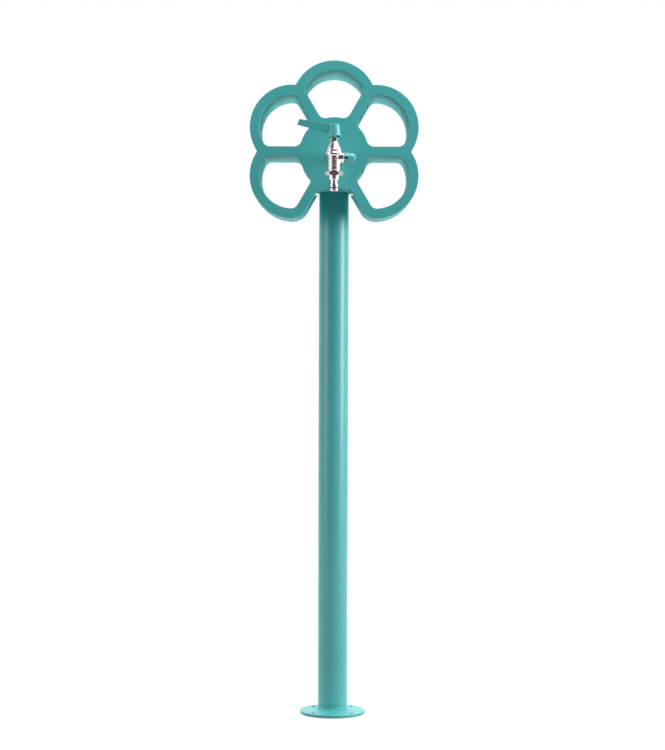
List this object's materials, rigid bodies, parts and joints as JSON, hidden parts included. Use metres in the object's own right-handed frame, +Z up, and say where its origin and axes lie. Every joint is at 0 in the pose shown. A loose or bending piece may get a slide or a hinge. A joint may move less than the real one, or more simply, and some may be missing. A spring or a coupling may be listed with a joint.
{
  "type": "drinking fountain",
  "caption": "Standing outdoor water tap: teal steel post on a round foot, deep flower-shaped head that holds a hose, and a chromed lever tap with a quick-connect nipple.",
  "frame": {"origin": "centre of the round foot's underside, on the ground", "axes": "+Z up along the post, the tap faces -Y, +X to the right of someone who faces the tap"},
  "size_m": [0.2786, 0.2421, 1.093],
  "materials": {
    "teal_coat": "semi-gloss powder coat",
    "chrome": "polished chrome plate on brass",
    "brass": "turned brass",
    "zinc_steel": "bright zinc plate",
    "stainless": "stainless steel",
    "rubber": "black nitrile rubber",
    "ptfe": "white PTFE",
    "pipe_plastic": "white cross-linked polyethylene pipe"
  },
  "bodies": {
    "stand": {"base_plate": "teal_coat", "post_tube": "teal_coat", "inlet_coupling": "brass", "feed_pipe": "pipe_plastic", "head_front_plate": "teal_coat", "head_back_plate": "teal_coat", "head_outer_band": "teal_coat", "petal_lining_1": "teal_coat", "petal_lining_2": "teal_coat", "petal_lining_3": "teal_coat", "petal_lining_4": "teal_coat", "petal_lining_5": "teal_coat", "rear_cover": "teal_coat", "rear_cover_screw_1": "stainless", "rear_cover_screw_2": "stainless", "rear_cover_screw_3": "stainless", "rear_cover_screw_4": "stainless", "post_socket": "zinc_steel", "socket_screw_left": "zinc_steel", "socket_screw_right": "zinc_steel", "notch_screw_left": "chrome", "notch_screw_right": "chrome", "notch_nut_left": "zinc_steel", "notch_nut_right": "zinc_steel", "feed_elbow": "brass", "pipe_nut": "brass", "inlet_tail": "chrome", "tail_seal": "rubber", "tail_lock_nut": "brass", "tap_body": "chrome", "ball_seat_inlet": "ptfe", "ball_seat_outlet": "ptfe", "tap_bonnet": "chrome", "spindle_seal": "ptfe", "gland_nut": "chrome", "outlet_nut": "chrome", "outlet_washer": "rubber", "hose_nipple": "chrome", "nipple_seal": "rubber", "side_gland_nut": "chrome", "side_spindle_seal": "rubber"},
    "main_lever": {"lever_handle": "teal_coat", "handle_screw": "stainless", "valve_spindle": "stainless", "valve_ball": "chrome"},
    "side_lever": {"side_handle": "teal_coat", "side_handle_screw": "stainless", "side_spindle": "stainless", "side_plug": "brass"}
  },
  "joints": [
    {"name": "main_lever_turn", "type": "hinge", "parent": "stand", "child": "main_lever", "pos_m": [0, -0.169, 0.93], "axis": [0, 0, 1], "range_deg": [0, 90]},
    {"name": "side_lever_turn", "type": "hinge", "parent": "stand", "child": "side_lever", "pos_m": [0, -0.169, 0.9269], "axis": [1, 0, 0], "range_deg": [0, 90]}
  ]
}
